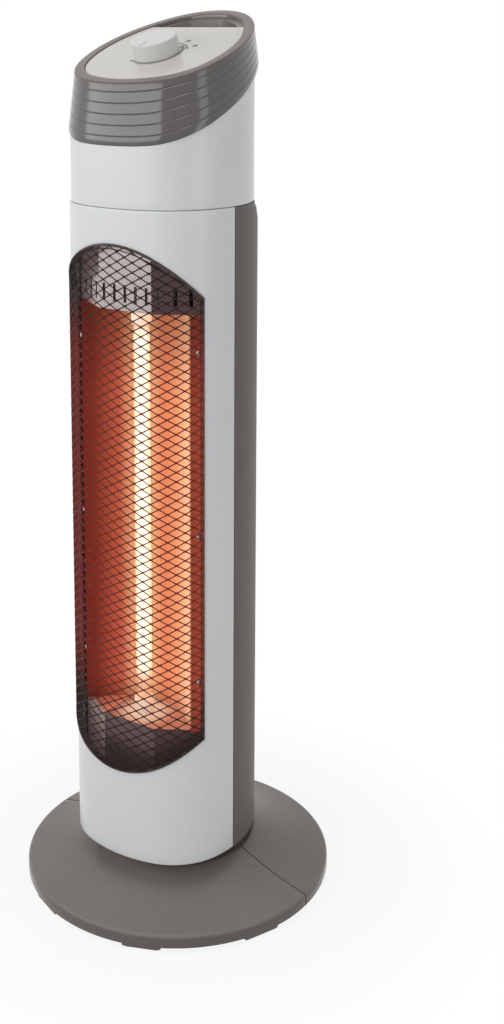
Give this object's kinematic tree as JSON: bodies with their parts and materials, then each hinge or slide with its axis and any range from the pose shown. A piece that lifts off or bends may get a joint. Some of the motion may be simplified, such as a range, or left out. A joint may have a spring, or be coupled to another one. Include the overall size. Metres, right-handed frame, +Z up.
{
  "type": "oscillating tower heater",
  "caption": "Upright electric tower heater: a glowing tube before a curved mirror behind a mesh guard, a sloping head with a dial and finger recess, and a round base it swings on.",
  "frame": {"origin": "centre of the round base, on the floor", "axes": "+Z up along the column, -Y towards the front of the heater where the mesh guard is, +X to the right seen from the front"},
  "size_m": [0.24, 0.24, 0.678],
  "materials": {
    "white_plastic": "satin gloss moulding",
    "warm_grey_plastic": "satin moulding",
    "black_plastic": "matte moulding",
    "natural_nylon": "matte moulding",
    "dark_wire": "dark enamel",
    "mirror_sheet": "polished sheet",
    "plated_sheet": "zinc plated",
    "steel_screw": "bright",
    "quartz": "clear tube",
    "carbon": "glowing fibre",
    "ceramic_cap": "matte",
    "soft_rubber": "matte"
  },
  "bodies": {
    "base": {"base_front_half": "warm_grey_plastic", "base_rear_half": "warm_grey_plastic", "foot_pads": "soft_rubber", "hub_plate": "warm_grey_plastic", "hub_screws": "steel_screw", "glide_ring": "natural_nylon", "retaining_ring": "plated_sheet", "fixed_gear": "natural_nylon", "cord_grommet": "soft_rubber", "tip_switch": "black_plastic"},
    "column": {"column_floor": "warm_grey_plastic", "front_panel": "white_plastic", "rear_cover": "warm_grey_plastic", "cover_screws": "steel_screw", "top_housing": "white_plastic", "collar": "warm_grey_plastic", "control_panel": "white_plastic", "handle_cup": "warm_grey_plastic", "rotary_switch": "black_plastic", "lamp_chassis": "plated_sheet", "reflector": "mirror_sheet", "reflector_screws": "steel_screw", "upper_shield": "mirror_sheet", "lower_shield": "mirror_sheet", "quartz_tube": "quartz", "carbon_filament": "carbon", "upper_cap": "ceramic_cap", "lower_cap": "ceramic_cap", "guard_rim": "dark_wire", "guard_mesh": "dark_wire", "swing_motor": "plated_sheet", "motor_screws": "steel_screw", "thermal_cutout": "black_plastic", "terminal_block": "natural_nylon"},
    "dial": {"knob": "white_plastic", "knob_shaft": "natural_nylon"},
    "pinion": {"drive_pinion": "natural_nylon"},
    "plunger": {"tip_plunger": "natural_nylon"}
  },
  "joints": [
    {"name": "column_sweep", "type": "hinge", "parent": "base", "child": "column", "pos_m": [0, 0, 0.045], "axis": [0, 0, 1], "range_deg": [-35, 35]},
    {"name": "pinion_spin", "type": "hinge", "parent": "column", "child": "pinion", "pos_m": [0, 0.026, 0.04], "axis": [0, 0, 1], "range_deg": [-80, 80]},
    {"name": "knob_turn", "type": "hinge", "parent": "column", "child": "dial", "pos_m": [0, -0.022, 0.6458], "axis": [0, -0.3573, 0.934], "range_deg": [-90, 180]},
    {"name": "plunger_press", "type": "slide", "parent": "base", "child": "plunger", "axis": [0, 0, 1], "range_m": [-0.005, 0], "stiffness_N_per_m": 60, "springref_m": -0.012}
  ],
  "couplings": [
    {"joint": "pinion_spin", "follows": "column_sweep", "ratio": 2.25}
  ]
}
